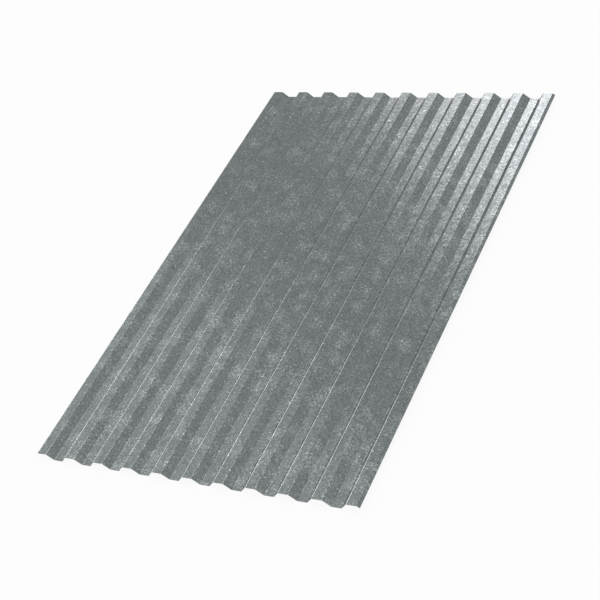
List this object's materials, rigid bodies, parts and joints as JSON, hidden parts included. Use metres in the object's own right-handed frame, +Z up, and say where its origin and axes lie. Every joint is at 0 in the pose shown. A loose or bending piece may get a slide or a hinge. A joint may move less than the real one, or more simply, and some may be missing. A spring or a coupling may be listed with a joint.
{
  "type": "profiled metal sheet",
  "caption": "Flat-lying trapezoidal profiled sheet of galvanised steel with parallel ribs and a turned-down lip along each long edge, for wall cladding, roofing and fencing.",
  "frame": {"origin": "under the middle of the sheet, on the plane of the trough undersides that it rests on", "axes": "+X across the ribs, +Y along the ribs, +Z up, from the troughs towards the crests"},
  "size_m": [1.0446, 1.66, 0.021],
  "materials": {
    "galvanised_steel": "hot-dip zinc with a fine mottled spangle, dull"
  },
  "bodies": {
    "root": {"profiled_sheet": "galvanised_steel"}
  },
  "joints": []
}
